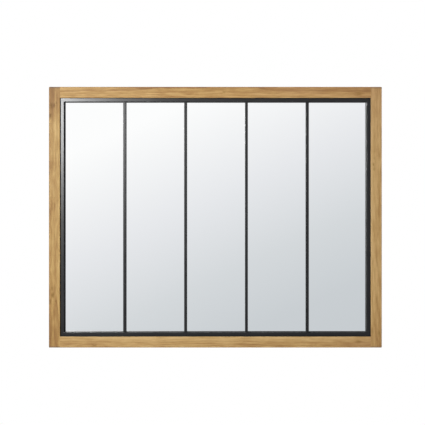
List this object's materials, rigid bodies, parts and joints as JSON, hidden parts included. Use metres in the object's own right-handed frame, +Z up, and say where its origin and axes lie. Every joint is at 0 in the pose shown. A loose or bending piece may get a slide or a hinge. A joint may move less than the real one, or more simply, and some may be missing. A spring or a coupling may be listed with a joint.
{
  "type": "window mirror",
  "caption": "Landscape wall mirror in a softwood frame, with a black steel window grid over the glass and swinging D-ring hangers behind.",
  "frame": {"origin": "middle of the wall plane that the four bumpers touch, at half the mirror's width and height", "axes": "+X to the viewer's right, +Y towards the wall, +Z up"},
  "size_m": [1.2, 0.04, 0.94],
  "materials": {
    "timber": "honey-stained softwood, waxed",
    "dowel_wood": "bare beech",
    "black_steel": "satin black paint",
    "mirror": "silvered glass",
    "rubber": "matt black rubber",
    "foam": "closed-cell foam strip",
    "board": "brown hardboard",
    "zinc_steel": "zinc-plated"
  },
  "bodies": {
    "mirror": {"left_stile": "timber", "right_stile": "timber", "top_rail": "timber", "bottom_rail": "timber", "corner_dowels": "dowel_wood", "grid_tube_left": "black_steel", "grid_tube_right": "black_steel", "grid_tube_top": "black_steel", "grid_tube_bottom": "black_steel", "glazing_bar_1": "black_steel", "glazing_bar_2": "black_steel", "glazing_bar_3": "black_steel", "glazing_bar_4": "black_steel", "mirror_glass": "mirror", "setting_block_left": "rubber", "setting_block_right": "rubber", "bumper_upper_left": "rubber", "bumper_upper_right": "rubber", "bumper_lower_left": "rubber", "bumper_lower_right": "rubber", "foam_strip_top": "foam", "foam_strip_bottom": "foam", "foam_strip_left": "foam", "foam_strip_right": "foam", "foam_strip_bar_1": "foam", "foam_strip_bar_2": "foam", "foam_strip_bar_3": "foam", "foam_strip_bar_4": "foam", "back_panel": "board", "hanger_strap_left": "zinc_steel", "hanger_strap_right": "zinc_steel", "back_panel_screws": "zinc_steel", "hanger_screws": "zinc_steel"},
    "left_ring": {"hanger_ring_left": "zinc_steel"},
    "right_ring": {"hanger_ring_right": "zinc_steel"}
  },
  "joints": [
    {"name": "left_ring_swing", "type": "hinge", "parent": "mirror", "child": "left_ring", "pos_m": [-0.588, -0.00475, 0.25], "axis": [1, 0, 0], "range_deg": [0, 180]},
    {"name": "right_ring_swing", "type": "hinge", "parent": "mirror", "child": "right_ring", "pos_m": [0.588, -0.00475, 0.25], "axis": [1, 0, 0], "range_deg": [0, 180]}
  ]
}
